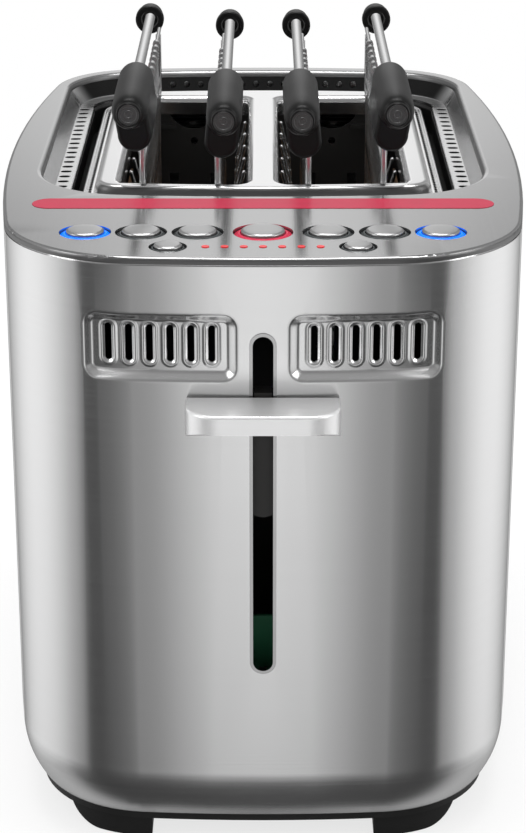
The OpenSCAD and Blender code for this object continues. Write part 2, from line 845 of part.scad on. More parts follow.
module button_board() color([0.1, 0.36, 0.18]) {
    intersection() {
        slab(pcb_z, pcb_z + pcb_t) plan(8);
        box(-body_w, body_w, 6, bar_d0 - 6, pcb_z, pcb_z + pcb_t);
    }
    for (k = key_list) rod_z(k[0], k[1], pcb_z + pcb_t, pcb_z + pcb_t + switch_h, 6);
    for (s = [-1, 1]) {
        rod_z(s * 76, 47, pcb_z + pcb_t, top_z - sheet, 5);
        rod_z(s * 11.5, 50, pcb_z + pcb_t, top_z - sheet, 5);
    }
}

magnet_top = bracket_z0 - travel_down - 0.7;

module latch_magnet() color([0.45, 0.3, 0.18]) {
    rod_z(magnet_x, magnet_d, floor_z + 3, magnet_top - 4, 9.4);
    rod_z(magnet_x, magnet_d, floor_z, magnet_top, 5);
    box(magnet_x - 5, magnet_x + 5, magnet_d - 6, magnet_d + 5.5, floor_z, floor_z + 3);
}

// Buttons, rings and lights: x, depth, hole, ring colour
key_list = concat(
    [[0, row_d, mid_hole_d]],
    [for (x = row_x) for (s = [-1, 1]) [s * x, row_d, hole_d]],
    [for (s = [-1, 1]) [s * small_x, small_d, small_hole_d]]
);

module key_ring(k) {
    cap = k[2] * cap_share;
    difference() {
        union() {
            rod_z(k[0], k[1], top_z - 5.7, top_z - 0.8, k[2] - 2 * snug);
            rod_z(k[0], k[1], top_z - 2.4, top_z - sheet, k[2] + 0.9);
        }
        rod_z(k[0], k[1], top_z - 8, top_z + 2, cap + 2 * gap);
        translate([k[0], behind(k[1]), top_z - 2.2])
            cylinder(d1 = cap + 2 * gap, d2 = k[2] - 1, h = 1.5);
    }
}

module key_cap(k) {
    cap = k[2] * cap_share;
    dome = cap * 1.6;
    crown = top_z + 1.2;
    intersection() {
        rod_z(k[0], k[1], top_z - 6.5, crown, cap);
        translate([k[0], behind(k[1]), crown - dome]) sphere(dome, $fn = 128);
    }
    rod_z(k[0], k[1], top_z - 7.2, top_z - 6, cap + 1.4);
    rod_z(k[0], k[1], pcb_z + pcb_t + switch_h + key_travel + gap, top_z - 7, 4);
}

module blue_rings() color([0.2, 0.5, 1]) {
    for (s = [-1, 1]) key_ring([s * row_x[2], row_d, hole_d]);
}

module grey_rings() color([0.7, 0.72, 0.74]) {
    for (s = [-1, 1]) {
        key_ring([s * row_x[0], row_d, hole_d]);
        key_ring([s * row_x[1], row_d, hole_d]);
        key_ring([s * small_x, small_d, small_hole_d]);
    }
}

module red_ring() color([0.9, 0.15, 0.2]) key_ring([0, row_d, mid_hole_d]);

module light_lenses() color([0.95, 0.1, 0.12]) {
    for (k = [-3 : 3]) {
        rod_z(k * light_pitch, small_d, top_z - 3, top_z + 0.2, light_d);
        rod_z(k * light_pitch, small_d, top_z - 3, top_z - sheet, light_d + 1);
    }
}

module light_bar() color([0.84, 0.33, 0.42]) {
    slab(top_z - 8, top_z + 0.15) bar_outline(-snug);
    slab(top_z - 3, top_z - sheet) bar_outline(0.6);
}

module key_outer_left() color(steel) key_cap([-row_x[2], row_d, hole_d]);

module key_left() color(steel) key_cap([-row_x[1], row_d, hole_d]);

module key_inner_left() color(steel) key_cap([-row_x[0], row_d, hole_d]);

module key_middle() color(steel) key_cap([0, row_d, mid_hole_d]);

module key_inner_right() color(steel) key_cap([row_x[0], row_d, hole_d]);

module key_right() color(steel) key_cap([row_x[1], row_d, hole_d]);

module key_outer_right() color(steel) key_cap([row_x[2], row_d, hole_d]);

module key_small_left() color(steel) key_cap([-small_x, small_d, small_hole_d]);

module key_small_right() color(steel) key_cap([small_x, small_d, small_hole_d]);

// Lever and carriage

module lever_slot_trim() color([0.9, 0.9, 0.9]) {
    upright(-0.4, 3) difference() {
        lever_opening(-snug);
        lever_opening(-trim_w);
    }
    upright(-0.4, 0) difference() {
        lever_opening(trim_w);
        lever_opening(-trim_w);
    }
}

tongue_hw = 2.4;

module carriage_bracket() color(black) {
    stem_hw = lever_slot_w / 2 - trim_w - gap - 0.2;
    difference() {
        union() {
            upright(6, 8) {
                rect_xz(-6, 6, bracket_z0 + 6, lever_z1 + 1);
                translate([0, bracket_z0 + 6]) circle(r = 6);
            }
            box(-stem_hw, stem_hw, 0.5, 8, lever_z0 - 2, lever_z1 + 1);
            box(-tongue_hw, tongue_hw, -lever_out + 8, 2, lever_z0 + 1.6, lever_z1 - 1.6);
            box(-4, 4, 6, cross_d + 1, cross_z0 + 6, cross_z1);
            box(-34, 34, cross_d, cross_d + 2.5, cross_z0, cross_z1);
            for (s = [-1, 1]) rod_z(s * post_x, carry_d, cross_z0, cross_z1 + 14, 2 * bush_r);
            box(magnet_x - 5, magnet_x + 5, cross_d, magnet_d + 5, cross_z0, cross_z0 + 2);
            for (s = [-1, 1])
                box(s * slot_c - rail_w / 2, s * slot_c + rail_w / 2, cross_d, wall_d0 - 30, rest_z - rail_h, cross_z1 - 8);
            box(18, 26, carry_d - 4, cross_d + 1, cross_z1 - 3, cross_z1);
        }
        for (s = [-1, 1]) rod_z(s * post_x, carry_d, 0, top_z, post_d + 2 * gap);
    }
}

module bread_rests() color(steel) {
    for (s = [-1, 1]) {
        box(s * slot_c - rail_w / 2, s * slot_c + rail_w / 2, wall_d0 - 30, wall_d1 + 5, rest_z - rail_h, rest_z - 1);
        for (k = [0 : 5]) {
            d = slot_d0 + 14 + k * (slot_d1 - slot_d0 - 28) / 5;
            translate([s * slot_c - rest_w / 2, behind(d), rest_z - 1.25])
                rotate([0, 90, 0]) cylinder(d = 2.5, h = rest_w);
        }
    }
}

// A flat top with soft edges, round front corners and an underside that slopes down to the root
module lever_handle() color([0.72, 0.72, 0.73]) {
    e = 1.2;
    d0 = -lever_out;
    d1 = -1.4;
    x = lever_w / 2;
    r = 12;
    z0 = lever_z1 - lever_root;
    difference() {
        union() {
            slab(z0, lever_z1 - e) rounded(-x, x, behind(d0), behind(3 * r), r);
            slab(z0, lever_z1) rounded(-x + e, x - e, behind(d0) + e, behind(3 * r) - e, r - e);
            rounded_sweep(-x, x, behind(d0), behind(3 * r), r) {
                translate([-e, lever_z1 - e]) circle(e);
            }
        }
        box(-body_w, body_w, d1, body_d, 0, top_z + 20);
        translate([-lever_w, 0, 0]) rotate([90, 0, 90]) linear_extrude(2 * lever_w)
            polygon([[behind(d0) - 5, z0 - 5], [behind(d0) - 5, lever_z0 - 0.4], [behind(d0) + 1.5, lever_z0 - 0.4],
                [behind(d1) + 2, z0], [behind(d1) + 2, z0 - 5]]);
        box(-tongue_hw, tongue_hw, -lever_out + 8, 2, lever_z0 + 1.6, lever_z1 - 1.6);
    }
}

module latch_armature() color([0.55, 0.55, 0.56]) {
    box(magnet_x - 4.3, magnet_x + 4.3, magnet_d - 4.5, magnet_d + 4.5, bracket_z0, cross_z0);
}

spring_top = pcb_z;

module carriage_spring() color(steel) {
    z0 = cross_z1;
    n = 8;
    r = 2.6;
    step = (spring_top - z0) / n;
    for (k = [0 : n - 1])
        translate([22, behind(carry_d), z0 + (k + 0.5) * step])
            rotate_extrude() translate([r, 0]) circle(d = 1.2, $fn = 24);
    rod_z(22 + r, carry_d, z0, spring_top, 0.9);
}

module crumb_tray() color([0.6, 0.6, 0.61]) {
    d0 = wall_d0 + 3;
    d1 = body_d - 12;
    difference() {
        box(-tray_hw, tray_hw, d0, d1, tray_z, tray_z + tray_h);
        box(-tray_hw + 1, tray_hw - 1, d0 + 1, d1 - 1, tray_z + 1, tray_z + 20);
    }
    difference() {
        intersection() {
            box(-tray_hw - 2, tray_hw + 2, d1 - 1, body_d + 4, tray_z, tray_z + 12);
            slab(0, 60) plan(3);
        }
        rod_y(0, tray_z + 12, d1 + 1.5, body_d + 4, 24);
    }
}

module cord_gland() color(black) {
    difference() {
        union() {
            rod_y(0, gland_z, body_d - 8, body_d + gland_out, gland_hole - 2 * snug);
            rod_y(0, gland_z, body_d, body_d + 3, gland_hole + 6);
            rod_y(0, gland_z, body_d - 5, body_d - sheet - 0.1, gland_hole + 5);
        }
        rod_y(0, gland_z, body_d - 20, body_d + 20, 6.5);
    }
}

// Sandwich cages: dir is +1 for the outer half and -1 for the inner half of the right cage

module half_grid(dir) {
    x = dir > 0 ? grid_x1 : grid_x0;
    tz = top_z + (dir > 0 ? tube_z1 : tube_z0) - top_wire_under;
    step = dir > 0 ? 0 : eye_step;
    yf0 = behind(slot_d0 - leg_out);
    yf1 = behind(slot_d0 + leg_in + step);
    yr0 = behind(slot_d1 + leg_out + 2);
    yr1 = behind(slot_d1 - leg_in - step);
    grip_z = tz + top_wire_under - grip_leg;
    // Front leg with the shoulder that hangs on the slot's front edge
    wire([x, yf0, jog_z], [x, yf0, grip_z], frame_d);
    knee([x, yf0, jog_z], frame_d);
    wire([x, yf0, jog_z], [x, yf1, jog_z], frame_d);
    knee([x, yf1, jog_z], frame_d);
    wire([x, yf1, low_wire_z], [x, yf1, jog_z], frame_d);
    // Rear leg with its shoulder
    wire([x, yr0, jog_z], [x, yr0, tz], frame_d);
    knee([x, yr0, jog_z], frame_d);
    wire([x, yr1, jog_z], [x, yr0, jog_z], frame_d);
    knee([x, yr1, jog_z], frame_d);
    wire([x, yr1, low_wire_z], [x, yr1, jog_z], frame_d);
    // Lower wire
    wire([x, yf1, low_wire_z], [x, yr1, low_wire_z], frame_d);
    for (y = [yf1, yr1]) knee([x, y, low_wire_z], frame_d);
    // Grid
    span = yr1 - yf1;
    for (k = [1 : wire_n]) {
        y = yf1 + k * span / (wire_n + 1);
        high = y > behind(grip_d1 + 3);
        wire([x, y, low_wire_z], [x, y, high ? tz : high_wire_z], wire_d);
        if (high) rod_y(x, tz, y - front_y - 1.7, y - front_y + 1.7, wire_d + 1.5);
    }
    for (z = [low_wire_z + 32, low_wire_z + 62]) wire([x, yf1, z], [x, yr1, z], wire_d);
    wire([x, yf0, high_wire_z], [x, yr0, high_wire_z], wire_d);
    wire([x, behind(grip_d1 - 5), tz], [x, behind(cap_d0 + 5), tz], wire_d);
}

// Two pressed links that carry a half's lower wire on the hinge rod
module half_links(dir) {
    x = dir > 0 ? grid_x1 : grid_x0;
    inset = leg_in + (dir > 0 ? 0 : eye_step) + link_in;
    for (d = [slot_d0 + inset, slot_d1 - inset]) upright(d - eye_w / 2, d + eye_w / 2) difference() {
        union() {
            link_bar([hinge_x, hinge_z], hinge_d / 2 + 2, [x, low_wire_z], frame_d / 2 + 0.6);
            translate([hinge_x, hinge_z]) circle(hinge_d / 2 + 2);
            translate([x, low_wire_z]) circle(frame_d / 2 + 0.6);
        }
        translate([hinge_x, hinge_z]) circle(d = hinge_d + 2 * gap);
        translate([x, low_wire_z]) circle(d = frame_d);
    }
}

// The straight part between two round ends
module link_bar(a, ra, b, rb) {
    u = (b - a) / norm(b - a);
    n = [-u[1], u[0]];
    polygon([a + n * ra, a - n * ra, b - n * rb, b + n * rb]);
}

module half_tube(dir) {
    x = dir > 0 ? tube_x1 : tube_x0;
    z = top_z + (dir > 0 ? tube_z1 : tube_z0);
    rod_y(x, z, grip_d0 + 4, cap_d0 + 8, tube_d);
}

// Black front grip, a rounded bar that also holds the front leg, and the black rear cap
module half_grips(dir) {
    x = dir > 0 ? tube_x1 : tube_x0;
    gx = dir > 0 ? grid_x1 : grid_x0;
    z = top_z + (dir > 0 ? tube_z1 : tube_z0);
    lean = (gx - x) * 0.4;
    r = grip_w / 2;
    e = 2;
    difference() {
        union() {
            upright(grip_d0 + e, grip_d1) grip_section(x, z, lean, r);
            upright(grip_d0, grip_d1) grip_section(x, z, lean, r - e);
            for (k = [0, 1]) translate([x + k * lean, behind(grip_d0 + e), z - k * grip_leg])
                rotate([-90, 0, 0]) rim_ring(r, e);
            for (t = [25, 45, 65]) upright(grip_d0 + e * (1 - cos(t)), grip_d1)
                link_bar([x, z], r - e + e * sin(t), [x + lean, z - grip_leg], r - e + e * sin(t));
            rod_y(x, z, grip_d0 - 3, grip_d0 + 1, 10.6);
            rod_y(x, z, grip_d0 - 4, grip_d0 - 2, 8.4);
        }
        rod_y(x, z, grip_d0 + 4, grip_d1 + 5, tube_d);
        rod_y(gx, z - top_wire_under, grip_d1 - 5, grip_d1 + 5, wire_d);
        rod_z(gx, slot_d0 - leg_out, top_z, z - grip_leg, frame_d);
        rod_y(x, z, grip_d0 - 5, grip_d0 - 3.4, 3);
    }
    difference() {
        union() {
            rod_y(x, z, cap_d0, cap_d0 + 3, 11.4);
            rod_y(x, z, cap_d0, cap_d0 + cap_len, 9.8);
            rod_y(gx, z - top_wire_under, cap_d0, cap_d0 + 8, 5.4);
            upright(cap_d0, cap_d0 + 8) polygon([[x - 3, z], [x + 3, z], [gx + 2, z - top_wire_under],
                [gx - 2, z - top_wire_under]]);
        }
        rod_y(x, z, cap_d0 - 1, cap_d0 + 8, tube_d);
        rod_y(x, z, cap_d0 - 1, cap_d0 + 2, tube_d + 3);
        rod_y(gx, z - top_wire_under, cap_d0 - 1, cap_d0 + 5, wire_d);
    }
}

module grip_section(x, z, lean, r) {
    translate([x, z]) circle(r);
    translate([x + lean, z - grip_leg]) circle(r);
    link_bar([x, z], r, [x + lean, z - grip_leg], r);
}

module rim_ring(r, e) {
    rotate_extrude() translate([r - e, 0]) circle(e);
}

module hinge_rod() {
    rod_y(hinge_x, hinge_z, slot_d0 + 2, slot_d1 - 2, hinge_d);
}

module right_hinge_rod() color(steel) hinge_rod();

module left_hinge_rod() color(steel) mirror([1, 0, 0]) hinge_rod();

module right_outer_grid() color(steel) half_grid(1);

module right_inner_grid() color(steel) half_grid(-1);

module left_outer_grid() color(steel) mirror([1, 0, 0]) half_grid(1);

module left_inner_grid() color(steel) mirror([1, 0, 0]) half_grid(-1);

module right_outer_links() color(steel) half_links(1);

module right_outer_tube() color(steel) half_tube(1);

module right_inner_links() color(steel) half_links(-1);

module right_inner_tube() color(steel) half_tube(-1);

module left_outer_links() color(steel) mirror([1, 0, 0]) half_links(1);

module left_outer_tube() color(steel) mirror([1, 0, 0]) half_tube(1);

module left_inner_links() color(steel) mirror([1, 0, 0]) half_links(-1);

module left_inner_tube() color(steel) mirror([1, 0, 0]) half_tube(-1);

module right_outer_grips() color(black) half_grips(1);

module right_inner_grips() color(black) half_grips(-1);

module left_outer_grips() color(black) mirror([1, 0, 0]) half_grips(1);

module left_inner_grips() color(black) mirror([1, 0, 0]) half_grips(-1);

outer_shell();
top_panel();
vent_tub();
slot_plate();
base_pan();
feet();
base_screws();
front_end_plate();
rear_end_plate();
heater_board_left();
heater_board_center();
heater_board_right();
heater_ribbons();
bread_guides_left();
bread_guides_right();
heat_shields();
guide_posts();
control_board();
button_board();
latch_magnet();
blue_rings();
grey_rings();
red_ring();
light_lenses();
light_bar();
lever_slot_trim();
cord_gland();
carriage_bracket();
bread_rests();
lever_handle();
latch_armature();
carriage_spring();
key_outer_left();
key_left();
key_inner_left();
key_middle();
key_inner_right();
key_right();
key_outer_right();
key_small_left();
key_small_right();
crumb_tray();
left_hinge_rod();
right_hinge_rod();
left_outer_grid();
left_outer_links();
left_outer_tube();
left_outer_grips();
left_inner_grid();
left_inner_links();
left_inner_tube();
left_inner_grips();
right_outer_grid();
right_outer_links();
right_outer_tube();
right_outer_grips();
right_inner_grid();
right_inner_links();
right_inner_tube();
right_inner_grips();
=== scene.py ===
import json
import math

import bmesh
import bpy
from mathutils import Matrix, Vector


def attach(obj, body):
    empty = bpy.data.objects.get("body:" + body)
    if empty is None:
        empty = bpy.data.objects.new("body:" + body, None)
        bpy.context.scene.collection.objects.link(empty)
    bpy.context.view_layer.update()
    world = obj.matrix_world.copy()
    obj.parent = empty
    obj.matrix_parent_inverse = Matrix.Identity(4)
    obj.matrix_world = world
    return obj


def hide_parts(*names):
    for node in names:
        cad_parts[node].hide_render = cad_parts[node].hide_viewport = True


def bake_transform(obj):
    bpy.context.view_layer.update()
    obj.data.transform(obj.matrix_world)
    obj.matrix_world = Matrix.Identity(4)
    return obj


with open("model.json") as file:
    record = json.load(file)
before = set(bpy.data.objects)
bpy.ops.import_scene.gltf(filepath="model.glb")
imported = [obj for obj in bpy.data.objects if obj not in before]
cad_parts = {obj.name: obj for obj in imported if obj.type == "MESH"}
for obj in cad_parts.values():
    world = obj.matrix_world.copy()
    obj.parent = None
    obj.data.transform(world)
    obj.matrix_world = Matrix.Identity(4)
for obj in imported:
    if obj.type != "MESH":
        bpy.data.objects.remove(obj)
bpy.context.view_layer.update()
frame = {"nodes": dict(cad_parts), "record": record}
nodes = frame["nodes"]
print("frame loaded:", len(nodes), "nodes")


class Flow:  # a socket that takes part in sums
    def __init__(self, tree, socket):
        self.tree = tree
        self.socket = socket

    def math(self, operation, other, swapped=False):  # any two-value sum
        step = self.tree.nodes.new("ShaderNodeMath")
        step.operation = operation
        pair = (other, self) if swapped else (self, other)
        for slot, value in zip(step.inputs, pair):
            plug(self.tree, slot, value)
        return Flow(self.tree, step.outputs[0])

    def size(self):  # without its sign
        return self.math("ABSOLUTE", 0.0)

    def most(self, other):
        return self.math("MAXIMUM", other)

    def __add__(self, other):
        return self.math("ADD", other)

    def __sub__(self, other):
        return self.math("SUBTRACT", other)

    def __rsub__(self, other):
        return self.math("SUBTRACT", other, True)

    def __mul__(self, other):
        return self.math("MULTIPLY", other)

    def __truediv__(self, other):
        return self.math("DIVIDE", other)


def plug(tree, slot, value):
    if isinstance(value, Flow):
        tree.links.new(value.socket, slot)
    else:
        slot.default_value = value


class Finish:  # the nodes behind one material, or behind the world
    def __init__(self, name, world=False):
        self.material = (bpy.data.worlds if world else bpy.data.materials).new(name)
        self.material.use_nodes = True
        self.tree = self.material.node_tree
        self.tree.nodes.clear()
        self.out = self.tree.nodes.new("ShaderNodeOutputWorld" if world else "ShaderNodeOutputMaterial")

    def make(self, kind, settings=None, sockets=None, out=0):
        step = self.tree.nodes.new(kind)
        for key, value in (settings or {}).items():
            if key == "stops":
                ramp = step.color_ramp
                while len(ramp.elements) < len(value):
                    ramp.elements.new(0.5)
                for element, (place, shade) in zip(ramp.elements, value):
                    element.position = place
                    element.color = shade
            else:
                setattr(step, key, value)
        for key, value in (sockets or {}).items():
            plug(self.tree, step.inputs[key], value)
        return Flow(self.tree, step.outputs[out])

    def place(self, scale=(1, 1, 1)):  # object coordinates, stretched
        spot = self.make("ShaderNodeTexCoord", out="Object")
        return self.make("ShaderNodeMapping", None, {"Vector": spot, "Scale": scale})

    def axes(self, source="Object"):  # coordinates, one by one
        spot = self.make("ShaderNodeTexCoord", out=source)
        split = self.make("ShaderNodeSeparateXYZ", None, {"Vector": spot})
        return [Flow(self.tree, o) for o in split.socket.node.outputs]

    def fade(self, value, start, end):
        return self.make("ShaderNodeMapRange", {"interpolation_type": "SMOOTHSTEP"}, {
            "Value": value, "From Min": start, "From Max": end})

    def band(self, value, low, high):  # fades in over low and out over high
        return self.fade(value, *low) * (1.0 - self.fade(value, *high))

    def noise(self, scale, detail=2.0, vector=None):
        return self.make("ShaderNodeTexNoise", None, {
            "Vector": vector or self.place(), "Scale": scale, "Detail": detail})

    def mix(self, factor, first, second):
        return self.make("ShaderNodeMix", {"data_type": "RGBA"}, {0: factor, 6: first, 7: second}, out=2)

    def bump(self, height, strength, distance):
        return self.make("ShaderNodeBump", None, {
            "Strength": strength, "Distance": distance, "Height": height})

    def ray(self, kind):
        return self.make("ShaderNodeLightPath", out=f"Is {kind} Ray")

    def close(self, shader):
        plug(self.tree, self.out.inputs["Surface"], shader)
        return self.material

    def end(self, sockets):
        return self.close(self.make("ShaderNodeBsdfPrincipled", None, sockets, out="BSDF"))


def grey(level, blue=0.0):
    return (level, level, level + blue, 1)


def scaled(colour, share):
    return tuple(min(1, c * share) for c in colour) + (1,)


# Steel finishes

steel = {"grainDetail": 3.0, "broadScale": 14.0, "grainShare": 0.7, "broadShare": 0.3, "tint": 0.004,
         "roughSwing": 0.12, "bumpHeight": 0.0002, "paintedShadeRough": 0.35, "brushTurn": 0.25}


def steelFinish(name, tone, rough, stretch, anisotropy, spread, bump, relief=None, paintedShade=None, metal=1.0):
    f = Finish(name)
    grain = f.noise(1.0, steel["grainDetail"], f.place(stretch))
    broad = f.noise(steel["broadScale"])
    level = grain * steel["grainShare"] + broad * steel["broadShare"]
    colour = f.mix(level, grey(tone - spread), grey(tone + spread, steel["tint"]))
    roughness = level * steel["roughSwing"] + (rough - steel["roughSwing"] / 2)
    height = grain * (bump * steel["bumpHeight"])
    if relief:
        height = height + relief(f)
    # painted shade and painted reflection: the hook's mask mixes its dark grey into the colour, roughens it and may
    # lower the metal
    if paintedShade:
        dark, shade, dull = paintedShade(f)
        colour = f.mix(dark, colour, shade)
        roughness = roughness + dark * steel["paintedShadeRough"]
        metal = 1.0 - dull if dull else metal
    return f.end({"Base Color": colour, "Metallic": metal, "Roughness": roughness, "Anisotropic": anisotropy,
                  "Anisotropic Rotation": steel["brushTurn"], "Normal": f.bump(height, 1.0, 1.0)})


easing = {"across": (0.018, 0.064), "front": (0.09, 0.1), "drop": 0.002}


def cornerEase(f):  # eases the bowed front into the corners
    x, y, z = f.axes()
    front = f.fade(y * -1.0, *easing["front"])
    return f.fade(x.size(), *easing["across"]) * front * -easing["drop"]


tub = {"deep": (0.2195, 0.2222), "rear": (0.118, 0.132), "rearFoot": (0.2225, 0.2235), "dark": 0.02}


def tubPaintedShade(f):  # painted shade: the trench and the rear wall are painted dark where they lie in shade
    x, y, z = f.axes()
    deep = 1.0 - f.fade(z, *tub["deep"])
    rear = f.fade(y, *tub["rear"]) * f.fade(z, *tub["rearFoot"])
    return deep.most(rear), grey(tub["dark"]), None


plate = {"side": (0.063, 0.0635), "holePitch": 0.0054, "hole": (0.22, 0.28),
         "holes": ((0.219, 0.2193), (0.2222, 0.2225)), "bead": ((0.2138, 0.2142), (0.2164, 0.2168)),
         "low": (0.2184, 0.2188), "skirt": (0.2278, 0.2286), "dull": 0.75, "dark": 0.02,
         "bow": 0.8772, "cornerX": (0.0545, 0.057), "corner": (-0.0445, -0.0415), "front": (-0.0452, -0.0444),
         "roll": (0.2302, 0.2308), "rollDark": 0.85}


def platePaintedShade(f):  # pale skirt with a row of small holes painted dark as painted shade, painted shade below the bead, and a painted dark reflection line on the front roll
    x, y, z = f.axes()
    side = f.fade(x.size(), *plate["side"])
    step = (y / plate["holePitch"]).math("FRACT", 0.0) - 0.5
    hole = 1.0 - f.fade(step.size(), *plate["hole"])
    level = f.band(z, *plate["holes"])
    low = (1.0 - f.fade(z, *plate["low"])) * (1.0 - f.band(z, *plate["bead"]))
    skirt = side * (1.0 - f.fade(z, *plate["skirt"]))
    back = y - x * x * plate["bow"]  # the front edge is bowed
    corner = f.fade(x.size(), *plate["cornerX"]) * (1.0 - f.fade(back, *plate["corner"]))
    front = (1.0 - f.fade(back, *plate["front"])).most(corner)
    roll = front * (1.0 - f.fade(z, *plate["roll"])) * plate["rollDark"]
    return (hole * level * side).most(low).most(roll), grey(plate["dark"]), skirt * plate["dull"]


rim = {"line": ((0.2283, 0.2288), (0.2312, 0.2317)), "share": 0.75, "tone": 0.12}


def rimPaintedReflection(f):  # painted dark reflection: the panel's rolled edge shows a dark line
    x, y, z = f.axes()
    return f.band(z, *rim["line"]) * rim["share"], grey(rim["tone"]), None


steels = {  # name, tone, roughness, grain, anisotropy, spread, bump, relief, painted shade, metal
    "body_steel": ("brushedShell", 0.84, 0.2, (6, 6, 2600), 0.9, 0.05, 0.05, cornerEase),
    "top_steel": ("satinTop", 0.46, 0.17, (1500, 8, 8), 0.4, 0.03, 0.03, None, rimPaintedReflection),
    "tub_steel": ("pressedTub", 0.8, 0.24, (40, 40, 40), 0.0, 0.03, 0.02, None, tubPaintedShade),
    "liner_steel": ("linerSteel", 0.88, 0.2, (50, 50, 50), 0.0, 0.03, 0.02),
    "polished_plate": ("polishedPlate", 0.86, 0.14, (60, 60, 60), 0.0, 0.02, 0.01, None, platePaintedShade),
    "screw_steel": ("plainSteel", 0.5, 0.35, (200, 200, 200), 0.0, 0.04, 0.03),
    "ribbon_metal": ("heatingRibbon", 0.42, 0.4, (300, 300, 300), 0.0, 0.06, 0.04),
    "bright_wire": ("brightWire", 0.72, 0.16, (400, 400, 400), 0.0, 0.04, 0.02),
    "cage_wire": ("cageWire", 0.55, 0.24, (300, 300, 300), 0.0, 0.06, 0.03),
    "shield_metal": ("shieldSheet", 0.6, 0.32, (30, 900, 30), 0.0, 0.04, 0.03),
    "bright_trim": ("brightTrim", 0.5, 0.2, (80, 80, 80), 0.0, 0.02, 0.01),
    "satin_handle": ("satinHandle", 0.82, 0.34, (12, 1200, 1200), 0.0, 0.02, 0.02, None, None, 0.6),
    "key_steel": ("brushedKey", 0.5, 0.3, (1400, 10, 10), 0.0, 0.04, 0.03)}
finishes = {slot: steelFinish(*settings) for slot, settings in steels.items()}
print("steel finishes done")


# Plastic, rubber, enamel and board finishes

plastic = {"broadScale": 25.0, "broadDetail": 3.0, "roughSwing": 0.12, "bumpDeep": 0.0003, "spread": 0.25}
plastics = {  # name, colour, roughness, grain, bump, specular
    "black_base": ("baseBlack", (0.009, 0.009, 0.009), 0.5, 1800, 0.1, 0.25),
    "foot_rubber": ("footRubber", (0.008, 0.008, 0.008), 0.65, 1800, 0.1, 0.25),
    "black_rubber": ("glandRubber", (0.02, 0.02, 0.02), 0.65, 1800, 0.1, 0.5),
    "black_enamel": ("mattEnamel", (0.02, 0.019, 0.018), 0.45, 900, 0.05, 0.5),
    "grip_black": ("gripBlack", (0.004, 0.004, 0.004), 0.38, 2200, 0.1, 0.2),
    # painted shade: near-black, dull and hardly shiny, laid in slots and holes where only shade shows
    "slot_dark": ("slotDark", (0.002, 0.002, 0.002), 0.8, 900, 0.02, 0.02),
    "grip_ring": ("gripRing", (0.035, 0.035, 0.035), 0.42, 2600, 0.3, 0.5),
    "green_board": ("solderMask", (0.03, 0.16, 0.08), 0.35, 400, 0.04, 0.5),
    "copper_coil": ("woundCopper", (0.42, 0.18, 0.07), 0.35, 900, 0.2, 0.5)}


def plasticFinish(name, colour, rough, grain, bump, specular):
    f = Finish(name)
    fine = f.noise(grain)
    broad = f.noise(plastic["broadScale"], plastic["broadDetail"])
    shade = f.mix(broad, scaled(colour, 1 - plastic["spread"]), scaled(colour, 1 + plastic["spread"]))
    roughness = fine * plastic["roughSwing"] + (rough - plastic["roughSwing"] / 2)
    return f.end({"Base Color": shade, "Roughness": roughness, "Specular IOR Level": specular,
                  "Normal": f.bump(fine, bump, plastic["bumpDeep"])})


for slot, settings in plastics.items():
    finishes[slot] = plasticFinish(*settings)

mica = {"scale": 160.0, "detail": 4.0, "stretch": (1, 1, 2.5), "brown": (0.2, 0.11, 0.06, 1),
        "tan": (0.42, 0.27, 0.16, 1), "rough": 0.3, "roughSwing": 0.3, "bump": (0.1, 0.0004)}


def micaFinish():
    f = Finish("micaSheet")
    flake = f.noise(mica["scale"], mica["detail"], f.place(mica["stretch"]))
    return f.end({"Base Color": f.mix(flake, mica["brown"], mica["tan"]),
                  "Roughness": flake * mica["roughSwing"] + mica["rough"],
                  "Normal": f.bump(flake, *mica["bump"])})


finishes["mica"] = micaFinish()


# Lit plastic: button rings, lights and the bar

lens = {"cloud": 120.0, "spread": 0.1, "rough": 0.22, "roughSwing": 0.06, "bump": (0.02, 0.0002)}
lenses = {  # name, colour, glow, specular
    "blue_lens": ("BlueLens", (0.0, 0.16, 0.95), 0.75, 0.5),
    "red_lens": ("RedLens", (0.5, 0.006, 0.01), 0.4, 0.5),
    "rose_ring": ("RoseRing", (0.5, 0.02, 0.06), 0.25, 0.5),
    "grey_lens": ("GreyLens", (0.05, 0.056, 0.058), 0.0, 0.5),
    "rose_bar": ("RoseBar", (0.43, 0.02, 0.055), 0.0, 0.06)}


def litFinish(name, colour, glow, specular):
    f = Finish(name)
    cloud = f.noise(lens["cloud"])
    shade = f.mix(cloud, scaled(colour, 1 - lens["spread"]), scaled(colour, 1 + lens["spread"]))
    return f.end({"Base Color": shade, "Roughness": cloud * lens["roughSwing"] + lens["rough"],
                  "Emission Color": shade, "Emission Strength": glow, "Specular IOR Level": specular,
                  "Normal": f.bump(cloud, *lens["bump"])})


for slot, settings in lenses.items():
    finishes[slot] = litFinish(*settings)

for entry in frame["record"]["subparts"]:
    mesh = nodes[entry["node"]].data
    mesh.materials.clear()
    mesh.materials.append(finishes[entry["material_slot"]])


# Smooth shading over the seams between the sheet's faces

smoothing = {"sheets": ("outer_shell", "top_panel", "vent_tub", "slot_plate"), "merge": 0.000001,
             "sharp": 28, "weight": 50}
for name in smoothing["sheets"]:
    weld = nodes[name].modifiers.new("join", "WELD")
    weld.merge_threshold = smoothing["merge"]
    split = nodes[name].modifiers.new("edges", "EDGE_SPLIT")
    split.split_angle = math.radians(smoothing["sharp"])
    split.use_edge_sharp = False
    even = nodes[name].modifiers.new("normals", "WEIGHTED_NORMAL")
    even.mode = "FACE_AREA"
    even.weight = smoothing["weight"]
    even.keep_sharp = False


# Helpers that all the added pieces share

def joinLoops(shape, first, second, finish=0):  # a closed row of faces between two loops
    faces = []
    for k in range(len(first)):
        face = shape.faces.new((first[k - 1], first[k], second[k], second[k - 1]))
        face.material_index = finish
        faces.append(face)
    return faces


